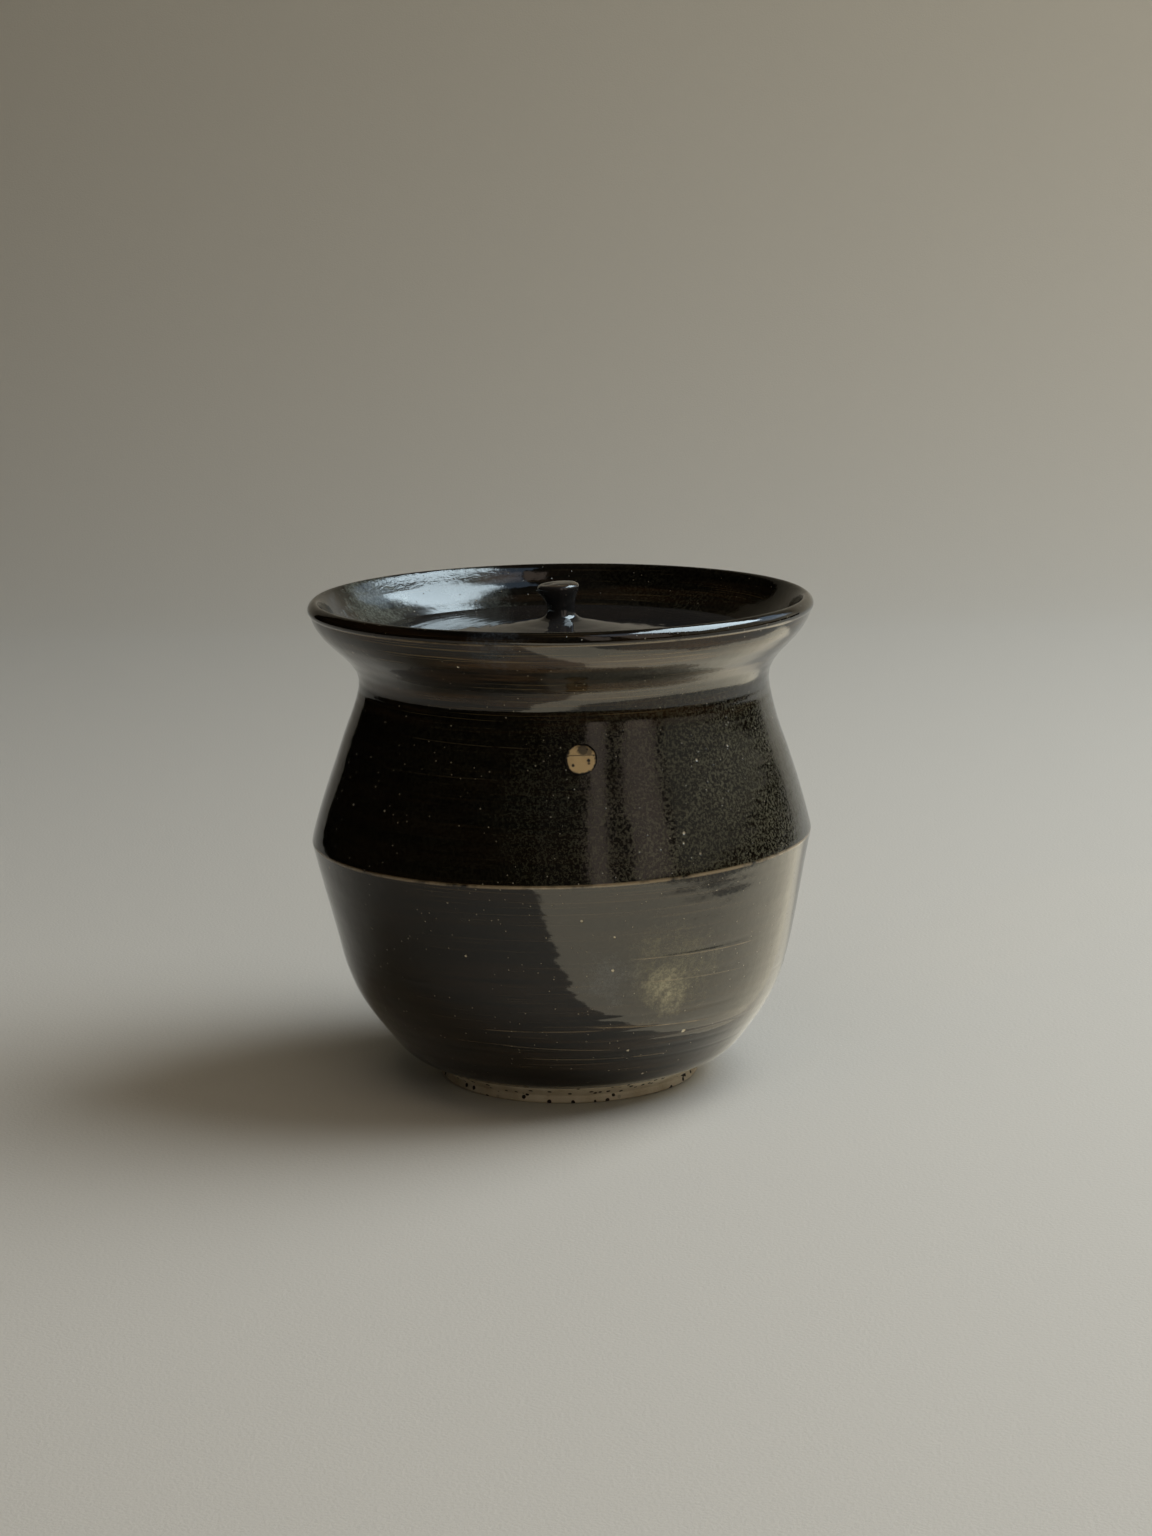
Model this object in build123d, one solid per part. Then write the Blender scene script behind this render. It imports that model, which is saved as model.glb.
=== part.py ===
from build123d import *
import os

# A lidded stoneware jar, thrown on a wheel, in millimetres. +Z is up and the
# origin is the centre of the foot, on the surface that the jar stands on.
# An outline is a list of (radius, height) points.

# Wall of the jar, from the ridge up past the neck to the lip
ridge_height = 81.0
ridge_radius = 82.4
shoulder_rise = 51.0
neck_radius = 66.9
neck_drop = 9.0
flare_rise = 28.0
rim_radius = 81.9
lip_thickness = 4.6
lip_height = 5.6
wall = 5.0

# Foot and floor
foot_height = 6.5
foot_radius = 42.4
foot_land_height = 2.2
foot_width = 7.0
foot_edge_radius = 0.8
glaze_line_radius = 47.6
floor_radius = 45.0
floor_thickness = 6.5

# Ledge that carries the lid, a little over the neck
seat_rise = 9.5
gallery_width = 6.0
gallery_thickness = 3.0

# Lid
lid_clearance = 0.6
lid_thickness = 4.5
lid_brim_width = 6.5
lid_edge_radius = 0.6
lid_rise = 5.5
flange_height = 8.0
flange_thickness = 4.0
flange_clearance = 1.2
flange_edge_radius = 1.0

# Knob
knob_height = 12.0
knob_radius = 6.7
knob_base_radius = 5.4

# Spot of bare clay in the shoulder
spot_radius = 4.9
spot_drop = 13.5
spot_turn = 4.5
spot_depth = 1.6
spot_recess = 0.3

# How far a cutting shape runs past what it cuts
overrun = 10.0

# Outlines, as shares of the way out and of the way up from one corner to the next
bowl_shares = [(0.16, 0.035), (0.35, 0.13), (0.535, 0.25), (0.69, 0.40), (0.80, 0.585), (0.905, 0.80)]
shoulder_shares = [(0.325, 0.335), (0.685, 0.648), (0.907, 0.843)]
flare_shares = [(0.047, 0.155), (0.20, 0.311), (0.46, 0.466), (0.687, 0.621), (0.873, 0.777)]
cone_shares = [(0.12, 0.22), (0.35, 0.56), (0.64, 0.77)]
knob_shares = [(0.68, 0.13), (0.67, 0.30), (0.78, 0.52), (0.95, 0.71), (1.0, 0.82), (0.90, 0.94), (0.45, 1.0)]

# Heights and radii that follow from these
neck_height = ridge_height + shoulder_rise
neck_start_height = neck_height - neck_drop
spot_height = neck_height - spot_drop
seat_height = neck_height + seat_rise
rim_height = neck_height + flare_rise
lip_centre_height = rim_height - lip_thickness / 2
lip_base_height = rim_height - lip_height
floor_height = foot_height + floor_thickness
gallery_bore_radius = neck_radius - wall - gallery_width
flange_radius = gallery_bore_radius - flange_clearance
flange_bore_radius = flange_radius - flange_thickness
lid_edge_height = seat_height + lid_thickness
lid_cone_radius = neck_radius - lid_brim_width
knob_base_height = lid_edge_height + lid_rise


def between(start, end, shares):
    # The points that lie at these shares of the way from one corner to another
    return [(start[0] + (end[0] - start[0]) * out, start[1] + (end[1] - start[1]) * up) for out, up in shares]


def inset(outline, depth):
    # The inner points of an outline, each moved inwards, square to the line between its neighbours
    moved = []
    for before, point, after in zip(outline, outline[1:], outline[2:]):
        along = (Vector(after) - Vector(before)).normalized()
        moved.append(Vector(point) + Vector(-along.Y, along.X) * depth)
    return moved


def band(low, high):
    # The half of the drawing plane beside the axis that lies between two heights
    return Pos(0, low) * Rectangle(ridge_radius + rim_radius, high - low, align=(Align.MIN, Align.MIN))


def turned(outline):
    # The solid that a closed outline sweeps round the jar's axis
    return revolve(Plane.XZ * outline, Axis.Z)


# The outside of the wall, in two stretches that meet at the ridge
foot_corner = (glaze_line_radius, foot_height)
ridge_corner = (ridge_radius, ridge_height)
neck_corner = (neck_radius, neck_height)
lip_corner = (rim_radius, lip_centre_height)
bowl_outline = [foot_corner, *between(foot_corner, ridge_corner, bowl_shares), ridge_corner]
upper_outline = [ridge_corner, *between(ridge_corner, neck_corner, shoulder_shares), neck_corner,
                 *between(neck_corner, lip_corner, flare_shares), lip_corner]


def inside_outline(depth):
    # The inside of the wall from the floor to the lip, this far in from the outside
    extra = depth - wall
    floor_corner = (floor_radius - extra, floor_height)
    lip_inside = (rim_radius - lip_thickness - extra, lip_centre_height)
    return [floor_corner, *inset(bowl_outline[1:] + upper_outline[1:], depth), lip_inside]


def wall_outline():
    # The whole thrown wall, from the top of the foot to the lip
    inside = inside_outline(wall)
    lip_top = (rim_radius - lip_thickness / 2, rim_height)
    floor_edge = (floor_radius, foot_height)
    return make_face([
        Line(floor_edge, foot_corner),
        Spline(*bowl_outline),
        Spline(*upper_outline),
        ThreePointArc(lip_corner, lip_top, inside[-1]),
        Spline(*inside),
        Line(inside[0], floor_edge),
    ])


def hollow_outline(depth):
    # The space inside the jar that stays this far in from the outside of its wall
    inside = inside_outline(depth)
    middle_top = (0, lip_centre_height)
    middle = (0, floor_height)
    return make_face([Spline(*inside), Polyline(inside[-1], middle_top, middle, inside[0])])


def wall_section(low, high):
    return turned(wall_outline() & band(low, high))


def foot_ring():
    bore_radius = foot_radius - foot_width
    ring = make_face(Polyline((bore_radius, 0), (foot_radius, 0), (foot_radius, foot_land_height), foot_corner,
                              (bore_radius, foot_height), close=True))
    return turned(fillet(ring.vertices().group_by(Axis.Y)[0], foot_edge_radius))


def jar_floor():
    return turned(band(foot_height, floor_height) & Rectangle(2 * floor_radius, 2 * rim_height))


def spot_plane():
    # The plane that touches the front of the shoulder at the clay spot's height and faces straight out of it
    shoulder = Spline(*upper_outline)
    level = Axis((0, spot_height, 0), (1, 0, 0))
    point = shoulder.find_intersection_points(level)[0]
    along = shoulder.tangent_at(point)
    return Plane((0, -point.X, point.Y), x_dir=(1, 0, 0), z_dir=(0, -along.Y, -along.X))


def spot_cylinder(top):
    # A cylinder from the bottom of the spot's pocket to this height over the wall, turned off the front
    upright = (Align.CENTER, Align.CENTER, Align.MIN)
    post = spot_plane() * Pos(0, 0, -spot_depth) * Cylinder(spot_radius, spot_depth + top, align=upright)
    return Rot(Z=spot_turn) * post


def clay_spot():
    return spot_cylinder(-spot_recess)


def shoulder_wall():
    return wall_section(ridge_height, neck_start_height) - spot_cylinder(overrun)


def lid_gallery():
    # A ledge with a sloping underside that grows out of the neck
    edge_height = seat_height - gallery_thickness
    reach = neck_radius - gallery_bore_radius
    ledge = make_face(Polyline((gallery_bore_radius, seat_height), (gallery_bore_radius, edge_height),
                               (neck_radius, edge_height - reach), (neck_radius, seat_height), close=True))
    return turned(ledge & hollow_outline(wall))


def lid_plate():
    # A low cone that drops inside the flare, hollowed underneath inside its flange
    apex = (knob_base_radius, knob_base_height)
    edge = (lid_cone_radius, lid_edge_height)
    side_top = (rim_radius, lid_edge_height)
    side_bottom = (rim_radius, seat_height)
    hollow_edge = (flange_bore_radius, seat_height)
    hollow_top = (0, seat_height + lid_rise)
    middle = (0, knob_base_height)
    blank = make_face([
        Spline(apex, *between(apex, edge, cone_shares), edge),
        Polyline(edge, side_top, side_bottom, hollow_edge, hollow_top, middle, apex),
    ])
    plate = blank & hollow_outline(wall + lid_clearance)
    return turned(fillet(plate.vertices().sort_by(Axis.X)[-1], lid_edge_radius))


def lid_flange():
    low = seat_height - flange_height
    ring = make_face(Polyline((flange_bore_radius, low), (flange_radius, low), (flange_radius, seat_height),
                              (flange_bore_radius, seat_height), close=True))
    return turned(fillet(ring.vertices().group_by(Axis.Y)[0], flange_edge_radius))


def lid_knob():
    # A hand-formed knob: a short waist under a flattened cap
    base = (0, knob_base_height)
    top = (0, knob_base_height + knob_height)
    foot = (knob_base_radius, knob_base_height)
    side = between(base, (knob_radius, knob_base_height + knob_height), knob_shares)
    return turned(make_face([Line(base, foot), Spline(foot, *side, top), Line(top, base)]))


pieces = {
    "foot_ring": foot_ring(),
    "jar_floor": jar_floor(),
    "lower_bowl": wall_section(foot_height, ridge_height),
    "shoulder_wall": shoulder_wall(),
    "neck_collar": wall_section(neck_start_height, seat_height),
    "flared_rim": wall_section(seat_height, lip_base_height),
    "lip_bead": wall_section(lip_base_height, rim_height + overrun),
    "lid_gallery": lid_gallery(),
    "clay_spot": clay_spot(),
    "lid_plate": lid_plate(),
    "lid_flange": lid_flange(),
    "lid_knob": lid_knob(),
}

os.makedirs("parts", exist_ok=True)
for name, piece in pieces.items():
    export_step(piece, f"parts/{name}.step")
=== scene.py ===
import functools
import math
import bpy
from mathutils import Matrix, Vector, kdtree, noise


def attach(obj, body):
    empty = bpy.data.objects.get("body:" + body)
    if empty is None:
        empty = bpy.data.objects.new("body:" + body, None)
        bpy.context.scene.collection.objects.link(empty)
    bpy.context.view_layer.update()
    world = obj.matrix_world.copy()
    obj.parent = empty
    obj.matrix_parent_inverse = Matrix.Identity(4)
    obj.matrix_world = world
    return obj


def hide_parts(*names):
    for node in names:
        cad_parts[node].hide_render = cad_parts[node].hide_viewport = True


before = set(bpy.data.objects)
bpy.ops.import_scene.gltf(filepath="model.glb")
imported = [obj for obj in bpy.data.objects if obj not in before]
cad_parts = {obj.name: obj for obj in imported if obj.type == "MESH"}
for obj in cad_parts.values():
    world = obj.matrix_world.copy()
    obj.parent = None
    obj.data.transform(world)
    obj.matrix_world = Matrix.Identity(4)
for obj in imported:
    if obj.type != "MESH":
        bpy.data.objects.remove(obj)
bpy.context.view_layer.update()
mm = 0.001
weld = 0.00001  # m, points closer than this are one
print("frame loaded:", len(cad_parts), "nodes")

cameraView = {
    "position": (0.0003, -1.092, 0.32304),
    "pitch": 11.46,  # degrees down
    "roll": 0.836,
    "yaw": 0.225,
    "lens": 79.6,
    "longSide": 36,  # mm of the lens's picture
}


def makeCamera(view):
    bpy.ops.object.camera_add(location=view["position"])
    camera = bpy.context.object
    camera.name = "photoCamera"
    yaw, pitch, roll = (math.radians(view[key]) for key in ("yaw", "pitch", "roll"))
    aim = Matrix.Rotation(-yaw, 4, "Z") @ Matrix.Rotation(math.pi / 2 - pitch, 4, "X") @ Matrix.Rotation(-roll, 4, "Z")
    camera.matrix_world = Matrix.Translation(view["position"]) @ aim
    camera.data.lens = view["lens"]
    camera.data.sensor_width = view["longSide"]
    bpy.context.scene.camera = camera


def hexColour(code):
    parts = [int(code[i:i + 2], 16) / 255 for i in (1, 3, 5)]
    return [c / 12.92 if c <= 0.04045 else ((c + 0.055) / 1.055) ** 2.4 for c in parts] + [1]


def addNode(tree, kind, links, out=0, **settings):
    # links holds what goes into each input: another node's output, or a plain value
    node = tree.nodes.new(kind)
    for key, value in settings.items():
        setattr(node, key, value)
    for key, value in links.items():
        if isinstance(value, bpy.types.NodeSocket):
            tree.links.new(value, node.inputs[key])
        else:
            node.inputs[key].default_value = value
    return node.outputs[out]


def newMaterial(name, **shader):
    material = bpy.data.materials.new(name)
    material.use_nodes = True
    tree = material.node_tree
    surface = tree.nodes["Principled BSDF"]
    for key, value in shader.items():
        surface.inputs[key.replace("_", " ")].default_value = value
    return material, tree, surface


def setMode(mode):
    bpy.ops.object.mode_set(mode=mode)


def pick(*pieces):
    bpy.ops.object.select_all(action="DESELECT")
    for piece in pieces:
        piece.select_set(True)
    bpy.context.view_layer.objects.active = pieces[0]


studio = {
    "floorColour": "#dcdbd2",
    "backPaintedWarmth": "#d4ccb9",  # painted light: the paper is coloured warmer towards the back, standing in for warmer light there
    "floorReach": 9.0,
    "wallStart": 0.95,
    "wallBend": 0.6,
    "wallSteps": 24,
    "wallHeight": 4.0,
    "backStart": 0.9,
    "backEnd": 1.5,
    "paperRoughness": 0.9,
    "toothScale": 900,  # to the metre
    "toothStrength": 0.25,
    "toothHeight": 0.0006,
    "airColour": "#fff4e6",
    "air": 0.03,
}


def makeFloor(values):
    # one sheet of paper that runs flat under the jar and bends up behind it
    bpy.ops.object.select_all(action="DESELECT")
    bpy.ops.mesh.primitive_plane_add(size=2, location=(0, 0, 0))
    sheet = bpy.context.object
    sheet.name = "paperSweep"
    reach, start, bend = values["floorReach"], values["wallStart"], values["wallBend"]
    for corner in sheet.data.vertices:
        corner.co.x *= reach
        corner.co.y = start if corner.co.y > 0 else -reach
    setMode("EDIT")
    bpy.ops.mesh.select_all(action="DESELECT")
    setMode("OBJECT")
    for edge in sheet.data.edges:
        edge.select = all(sheet.data.vertices[v].co.y > 0 for v in edge.vertices)
    setMode("EDIT")
    bpy.ops.mesh.select_mode(type="EDGE")
    steps = values["wallSteps"]
    for step in range(steps):
        first, last = (math.pi / 2 * s / steps for s in (step, step + 1))
        move = (0, bend * (math.sin(last) - math.sin(first)), bend * (math.cos(first) - math.cos(last)))
        bpy.ops.mesh.extrude_region_move(TRANSFORM_OT_translate={"value": move})
    bpy.ops.mesh.extrude_region_move(TRANSFORM_OT_translate={"value": (0, 0, values["wallHeight"])})
    setMode("OBJECT")
    bpy.ops.object.shade_smooth()
    # Heavy drawing paper, rolled off matte: a faint tooth and no sheen
    material, tree, surface = newMaterial("mattePaper", Roughness=values["paperRoughness"])
    place = addNode(tree, "ShaderNodeTexCoord", {}, "Object")
    tooth = addNode(tree, "ShaderNodeTexNoise", {"Vector": place, "Scale": values["toothScale"], "Detail": 3})
    bump = addNode(tree, "ShaderNodeBump", {"Height": tooth, "Strength": values["toothStrength"],
                                            "Distance": values["toothHeight"]})
    tree.links.new(bump, surface.inputs["Normal"])
    # painted light: between these depths the paper turns to the warmer back colour
    depth = addNode(tree, "ShaderNodeSeparateXYZ", {"Vector": place}, "Y")
    depth = addNode(tree, "ShaderNodeMapRange", {"Value": depth, "From Min": values["backStart"],
                                                 "From Max": values["backEnd"]})
    colour = addNode(tree, "ShaderNodeMix", {0: depth, 6: hexColour(values["floorColour"]),
                                             7: hexColour(values["backPaintedWarmth"])}, 2, data_type="RGBA")
    tree.links.new(colour, surface.inputs["Base Color"])
    sheet.data.materials.append(material)


# Each lamp: where it stands and what it faces, in metres, its turn in degrees if it has one, its width and height,
# brightness and colour. The gloss sees the sky and the window's panes, and the first three lamps give their light.
# The bounce is what a pale table sends up into the bowl.
lamps = {
    "softWindow": {"place": (1.29, 0.21, 1.38), "aim": (1.01, -0.2, 0), "size": (1.5, 1.5), "shine": 3.75,
                   "colour": "#fafcff", "seenBy": "light"},
    "fill": {"place": (0, -0.59, 1.23), "aim": (0, -0.58, 0), "size": (1.2, 1.2), "shine": 0.6,
             "colour": "#ffe9ce", "seenBy": "light"},
    "lowFill": {"place": (0.75, -1.42, 0.35), "aim": (0, 0, 0.02), "size": (0.8, 0.45), "shine": 1.7,
                "colour": "#fff4e6", "seenBy": "light"},
    "sky": {"place": (0.78, 0.05, 1.12), "aim": (0, 0, 0.1), "size": (0.95, 0.76), "shine": 12.5,
            "colour": "#dcf0fa", "seenBy": "gloss"},
    "skyBack": {"place": (0.95, 0.55, 0.75), "aim": (0, 0, 0.12), "size": (0.5, 0.42), "shine": 1.5,
                "colour": "#a9c6e4", "seenBy": "gloss"},
    "skyFront": {"place": (0.42, -0.5, 1.22), "aim": (0, 0, 0.12), "size": (0.4, 0.4), "shine": 1.0,
                 "colour": "#a9c6e4", "seenBy": "gloss"},
    "paneLeft": {"place": (0.417, -1.411, 0.95), "aim": (0, 0, 0.1), "size": (0.28, 1.6), "shine": 0.7,
                 "colour": "#ffe9d8", "seenBy": "gloss"},
    "paneRight": {"place": (0.965, -1.133, 0.95), "aim": (0, 0, 0.1), "size": (0.54, 1.6), "shine": 0.68,
                  "colour": "#ffe9d8", "seenBy": "gloss"},
    "wallRight": {"place": (1.3, 0.12, 0.5), "aim": (0, 0.12, 0.5), "size": (2.1, 1.0), "shine": 0.32,
                  "colour": "#fbf6e2", "seenBy": "gloss"},
    "bounce": {"place": (0.0751, -0.1164, 0.004), "aim": (0.0751, -0.1164, 1), "turn": -56, "size": (0.8, 0.108),
               "shine": 1.2, "colour": "#fbf0d2", "seenBy": "gloss and light"},
}
# Black cards that only the gloss sees, as the dark sides of the room: place, turn in degrees, width and height
darkCards = {
    "darkLeft": {"place": (-0.8, -1.46, 1.2), "turn": (90, 0, 90), "size": (4.98, 2.4)},
    "darkRight": {"place": (1.25, -0.15, 0.135), "turn": (90, 0, 90), "size": (2.7, 0.27)},
    "darkFront": {"place": (0, -2.4, 0.003), "turn": (0, 0, 0), "size": (8.0, 4.0)},
}
# A glowing card that only the gloss sees, where the bounce fades out beside the jar: its glow rises from its front
# end and from one side, between these shares of its length and width
fadeCard = {"place": (0.1072, 0.0815, 0.004), "turn": (0, 0, 56), "size": (0.435, 0.06), "shine": 0.95,
            "colour": "#f8efd6", "front": (-0.43, -0.08), "side": (0.5, -0.5)}


def makeLamps(lampTable):
    for name, values in lampTable.items():
        bpy.ops.object.light_add(type="AREA", location=values["place"])
        lamp = bpy.context.object
        lamp.name = name
        facing = Vector(values["aim"]) - Vector(values["place"])
        turn = Matrix.Rotation(math.radians(values.get("turn", 0)), 3, "Z")
        lamp.rotation_euler = (facing.to_track_quat("-Z", "Y").to_matrix() @ turn).to_euler()
        lamp.data.shape = "RECTANGLE"
        lamp.data.size, lamp.data.size_y = values["size"]
        lamp.data.energy = values["shine"] * math.pi * values["size"][0] * values["size"][1]
        lamp.data.color = hexColour(values["colour"])[:3]
        lamp.visible_camera = False
        lamp.visible_glossy = "gloss" in values["seenBy"]
        lamp.visible_diffuse = "light" in values["seenBy"]


def layCard(name, values, material):
    bpy.ops.object.select_all(action="DESELECT")
    bpy.ops.mesh.primitive_grid_add(x_subdivisions=2, y_subdivisions=2, size=1, location=values["place"],
                                    rotation=[math.radians(a) for a in values["turn"]])
    card = bpy.context.object
    card.name = name
    bpy.ops.transform.resize(value=(*values["size"], 1), orient_type="LOCAL")
    card.data.materials.append(material)
    card.visible_camera = card.visible_diffuse = card.visible_shadow = card.visible_transmission = False


def makeDarkCards(cardTable):
    # Black flock that throws nothing back
    black, tree, surface = newMaterial("blackCard", Roughness=1.0, Specular_IOR_Level=0.0)
    surface.inputs["Base Color"].default_value = (0, 0, 0, 1)
    for name, values in cardTable.items():
        layCard(name, values, black)


def makeFadeCard(values):
    # The same paper as the floor. It glows on its upper side only.
    glow, tree, surface = newMaterial("paperGlow", Roughness=studio["paperRoughness"])
    surface.inputs["Base Color"].default_value = hexColour(studio["floorColour"])
    surface.inputs["Emission Color"].default_value = hexColour(values["colour"])
    place = addNode(tree, "ShaderNodeTexCoord", {}, "Object")
    under = addNode(tree, "ShaderNodeNewGeometry", {}, "Backfacing")
    strength = addNode(tree, "ShaderNodeMath", {0: under, 1: -values["shine"], 2: values["shine"]},
                       operation="MULTIPLY_ADD")
    for axis, (dark, light) in (("X", values["front"]), ("Y", values["side"])):
        along = addNode(tree, "ShaderNodeSeparateXYZ", {"Vector": place}, axis)
        along = addNode(tree, "ShaderNodeMapRange", {"Value": along, "From Min": dark, "From Max": light},
                        interpolation_type="SMOOTHSTEP")
        strength = addNode(tree, "ShaderNodeMath", {0: along, 1: strength}, operation="MULTIPLY")
    tree.links.new(strength, surface.inputs["Emission Strength"])
    layCard("bounceFade", values, glow)


def makeAir(values):
    world = bpy.data.worlds.new("roomAir")
    world.use_nodes = True
    air = world.node_tree.nodes["Background"]
    air.inputs["Color"].default_value = hexColour(values["airColour"])
    air.inputs["Strength"].default_value = values["air"]
    bpy.context.scene.world = world


bpy.context.scene.view_settings.view_transform = "Standard"
makeCamera(cameraView)
makeFloor(studio)
makeLamps(lamps)
makeDarkCards(darkCards)
makeFadeCard(fadeCard)
makeAir(studio)
print("camera, floor and lamps made")


def drawLine(points, perSpan, order):
    # a line of (radius, height) points in millimetres, straight with order 2 and smooth with 4, made into edges
    bpy.ops.object.select_all(action="DESELECT")
    bpy.ops.curve.primitive_nurbs_path_add(location=(0, 0, 0))
    line = bpy.context.object
    line.data.splines.clear()
    spline = line.data.splines.new("NURBS")
    spline.points.add(len(points) - 1)
    for point, (radius, height) in zip(spline.points, points):
        point.co = (radius * mm, 0, height * mm, 1)
    spline.order_u = order
    spline.use_endpoint_u = True
    spline.resolution_u = perSpan
    bpy.ops.object.convert(target="MESH")
    return bpy.context.object


def turnPiece(name, profile):
    # draws a profile's lines, each in its own steps from point to point, and turns them once round the wheel's axis
    straight = profile.get("straight", ())
    pick(*(drawLine(profile[key], steps, 2 if key in straight else 4) for key, steps in profile["steps"].items()))
    bpy.ops.object.join()
    piece = bpy.context.object
    piece.name = piece.data.name = name
    setMode("EDIT")
    bpy.ops.mesh.select_all(action="SELECT")
    bpy.ops.mesh.remove_doubles(threshold=weld)
    setMode("OBJECT")
    sweep = piece.modifiers.new("wheel", "SCREW")
    sweep.axis, sweep.angle = "Z", 2 * math.pi
    sweep.steps = sweep.render_steps = profile["turns"]
    sweep.use_merge_vertices, sweep.merge_threshold = True, weld
    bpy.ops.object.modifier_apply(modifier="wheel")
    setMode("EDIT")
    bpy.ops.mesh.select_all(action="SELECT")
    bpy.ops.mesh.remove_doubles(threshold=weld)
    bpy.ops.mesh.normals_make_consistent(inside=False)
    setMode("OBJECT")
    bpy.ops.object.shade_smooth()
    return piece


@functools.lru_cache(maxsize=None)
def alongTable(table, height):
    # the value at a height, eased from one entry of the table to the next
    if height <= table[0][0]:
        return table[0][1]
    for (low, before), (high, after) in zip(table, table[1:]):
        if height <= high:
            t = (height - low) / (high - low)
            return before + (after - before) * t * t * (3 - 2 * t)
    return table[-1][1]


# How the thrown walls stray from a true turned shape, in millimetres and degrees. A table gives values by height.
handThrown = {
    "lean": ((0, 1.05), (12, 1.05), (45, 0.3), (81, -0.45), (113, 0.3), (132, 1.05), (150, 0.3)),
    "ridgeTilt": 0.73,
    "ridgeReach": ((45, 0), (81, 1), (123, 0)),
    "lipPitch": 0.57,
    "lipDrop": 1.2,
    "lipReach": ((141, 0), (155, 1)),
    "ripples": ((0, 0.01), (20, 0.012), (60, 0.006), (84, 0.005), (120, 0.01), (134, 0.03), (150, 0.016), (155, 0.0)),
    "rippleRise": 3.4,
    "rippleWander": 2,  # radians
    "wanderSize": (60, 60, 25),
    "outOfRound": 0.12,
    "roundRise": 40,
    "roundStart": 20,
    "lump": 0.05,
    "lumpSize": (12, 12, 5),
    # turning marks in the bowl: height, middle angle, half width in degrees, depth
    "marks": [
        (56.3, 34, 18, 0.17), (48.4, 34, 14, 0.10), (52.0, 30, 8, 0.06), (36.0, 22, 26, 0.12), (31.5, 12, 34, 0.14),
        (27.4, 20, 40, 0.16), (23.2, 8, 46, 0.14), (19.0, 24, 40, 0.12), (45.5, -40, 22, 0.07), (67.0, 160, 40, 0.14),
        (33.0, 190, 50, 0.14), (52.0, 250, 30, 0.12), (25.0, 120, 45, 0.14), (40.0, 90, 25, 0.12),
    ],
    "markWidth": 0.55,
    "markReach": 3,  # in mark widths
}


def softNoise(place, size):
    # a smooth noise from -1 to 1, its features of these sizes in mm along the axes
    return noise.noise([along / width for along, width in zip(place, size)])


def strayByHand(place):
    x, y, z = place / mm
    z = round(z, 4)
    radius, angle = math.hypot(x, y), math.atan2(y, x)
    values = handThrown
    turned = angle + math.tau * z / values["rippleRise"]
    wander = values["rippleWander"] * softNoise((x, y, z), values["wanderSize"])
    change = alongTable(values["ripples"], z) * math.sin(turned + wander)
    change += values["outOfRound"] * math.sin(2 * angle + z / values["roundRise"]) * min(1, z / values["roundStart"])
    change += values["lump"] * softNoise((x, y, z), values["lumpSize"])
    fromFront = math.degrees(angle) + 90
    for height, middle, half, depth in values["marks"]:
        offset = (z - height) / values["markWidth"]
        if abs(offset) < values["markReach"]:
            aside = abs((fromFront - middle + 180) % 360 - 180) / half
            if aside < 1:
                change -= depth * math.exp(-offset * offset) * (1 - aside ** 4)
    grown = (radius + change) / radius if radius > 1 else 1
    tilt = alongTable(values["ridgeReach"], z) * math.tan(math.radians(values["ridgeTilt"]))
    drop = values["lipDrop"] + y * math.tan(math.radians(values["lipPitch"]))
    rise = x * tilt - alongTable(values["lipReach"], z) * drop
    return Vector((x * grown + alongTable(values["lean"], z), y * grown, z + rise)) * mm


def reshape(piece, move):
    for vertex in piece.data.vertices:
        vertex.co = move(vertex.co)
    piece.data.update()


def dress(piece, body, nodes, material):
    piece.data.materials.append(material)
    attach(piece, body)
    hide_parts(*nodes)


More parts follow.
